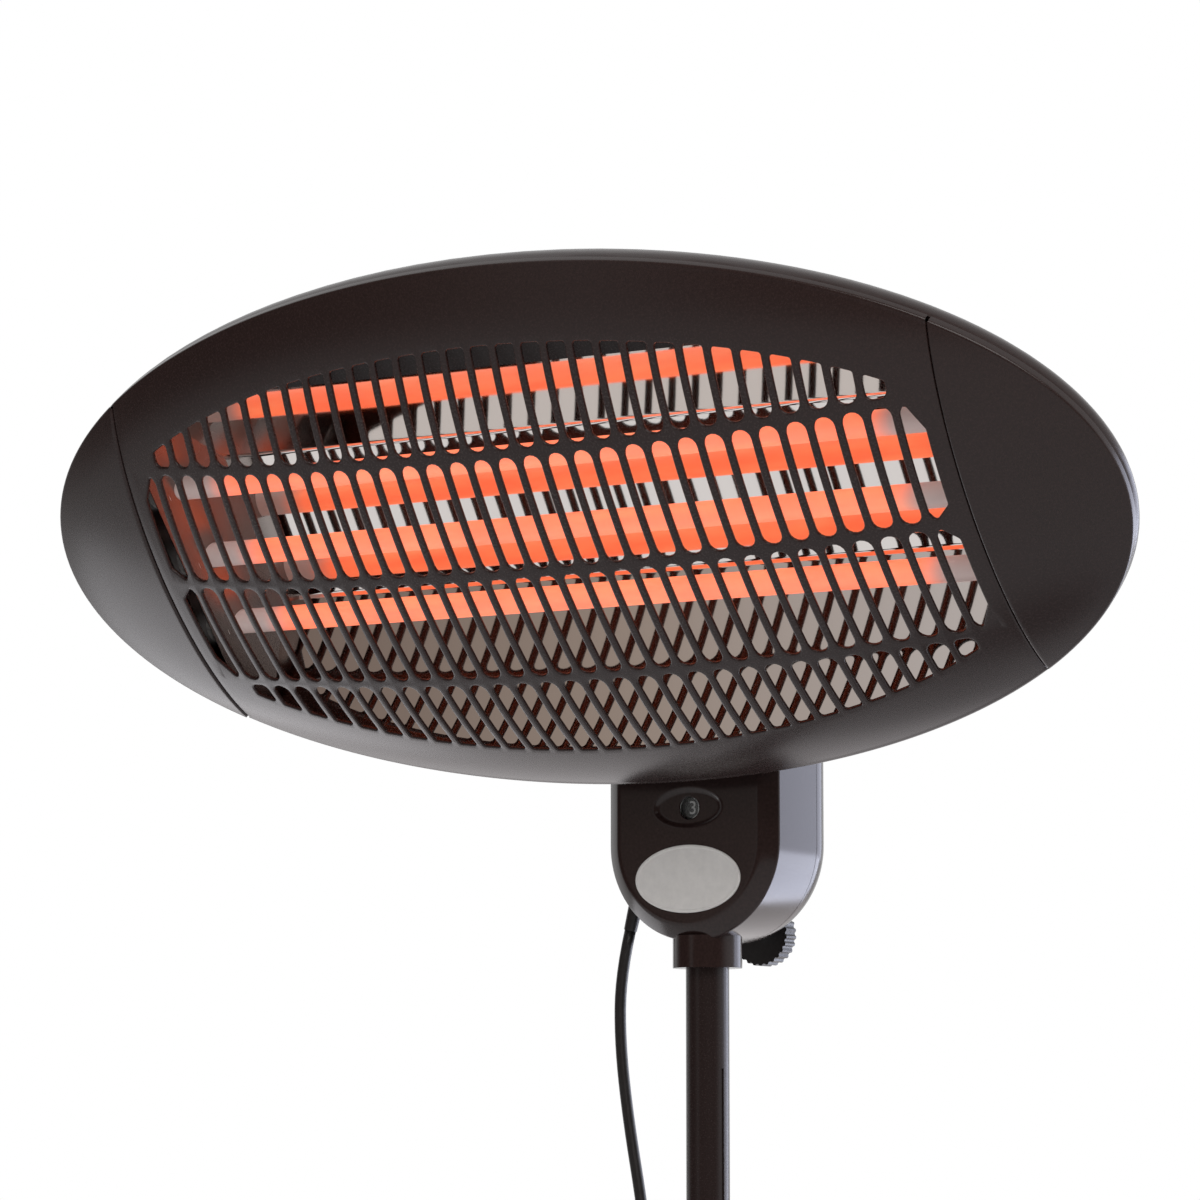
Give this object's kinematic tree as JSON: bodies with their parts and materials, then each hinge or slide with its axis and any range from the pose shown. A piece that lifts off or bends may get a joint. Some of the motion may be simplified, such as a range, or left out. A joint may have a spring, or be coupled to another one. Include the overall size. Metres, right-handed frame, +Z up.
{
  "type": "patio heater",
  "caption": "Free-standing electric patio heater: oval tilting head with a slotted domed grille over quartz tubes, control box with rotary dial, telescopic pole and weighted round base.",
  "frame": {"origin": "on the floor under the pole, in the middle of the base", "axes": "+Z up, -Y the side that the heater faces, +X to the viewer's right"},
  "size_m": [0.55, 0.5, 1.9128],
  "materials": {
    "head_paint": "satin black",
    "reflector": "mirror polished",
    "quartz": "frosted quartz, glowing",
    "ceramic": "matt",
    "steel": "zinc plated",
    "dark_steel": "blackened",
    "mount_paint": "gloss black",
    "box_plastic": "gloss",
    "window": "clear",
    "wheel": "black with white numerals",
    "inner_plastic": "matt",
    "badge": "satin, bare",
    "knob": "matt",
    "cord": "satin",
    "pole_paint": "fine matt powder coat",
    "base_paint": "fine matt powder coat",
    "weight": "cast concrete",
    "feet": "matt",
    "tie": "matt",
    "plug": "satin",
    "pins": "nickel plated"
  },
  "bodies": {
    "base": {"lower_pole": "pole_paint", "pole_bush": "inner_plastic", "clamp_collar": "mount_paint", "base_cover": "base_paint", "base_weight": "weight", "base_feet": "feet", "pole_flange": "base_paint", "flange_screws": "dark_steel", "cord_drop": "cord", "cord_coil": "cord", "cord_tie": "tie", "plug_body": "plug", "plug_pins": "pins"},
    "upper": {"hinge_bolt": "dark_steel", "hinge_nut": "dark_steel", "head_mount": "mount_paint", "box_front": "box_plastic", "box_rear": "box_plastic", "cover_screws": "dark_steel", "dial_window": "window", "rotary_switch": "inner_plastic", "badge_plate": "badge", "cord_gland": "cord", "upper_pole": "pole_paint", "guide_plug": "inner_plastic"},
    "head": {"front_grille": "head_paint", "end_cap_left": "head_paint", "end_cap_right": "head_paint", "rear_shell": "head_paint", "tilt_bracket": "head_paint", "reflector": "reflector", "quartz_tube_top": "quartz", "quartz_tube_middle": "quartz", "quartz_tube_bottom": "quartz", "ceramic_ends_left": "ceramic", "ceramic_ends_right": "ceramic", "tube_bracket_left": "steel", "tube_bracket_right": "steel"},
    "lock": {"lock_knob": "knob", "lock_screw": "steel"},
    "clamp": {"clamp_knob": "knob", "clamp_screw": "steel"},
    "wheel": {"number_wheel": "wheel"}
  },
  "joints": [
    {"name": "height_slide", "type": "slide", "parent": "base", "child": "upper", "axis": [0, 0, 1], "range_m": [-0.25, 0.2], "deforming": ["cord_drop"]},
    {"name": "head_tilt", "type": "hinge", "parent": "upper", "child": "head", "pos_m": [0, 0.01, 1.752], "axis": [1, 0, 0], "range_deg": [-38.7, 6.2]},
    {"name": "lock_turn", "type": "hinge", "parent": "upper", "child": "lock", "pos_m": [0, 0.048, 1.629], "axis": [0, 1, 0], "continuous": true},
    {"name": "clamp_turn", "type": "hinge", "parent": "base", "child": "clamp", "pos_m": [0, 0.033, 0.9915], "axis": [0, 1, 0], "continuous": true},
    {"name": "dial_turn", "type": "hinge", "parent": "upper", "child": "wheel", "pos_m": [0, -0.0113, 1.6746], "axis": [0, 1, 0], "continuous": true}
  ]
}
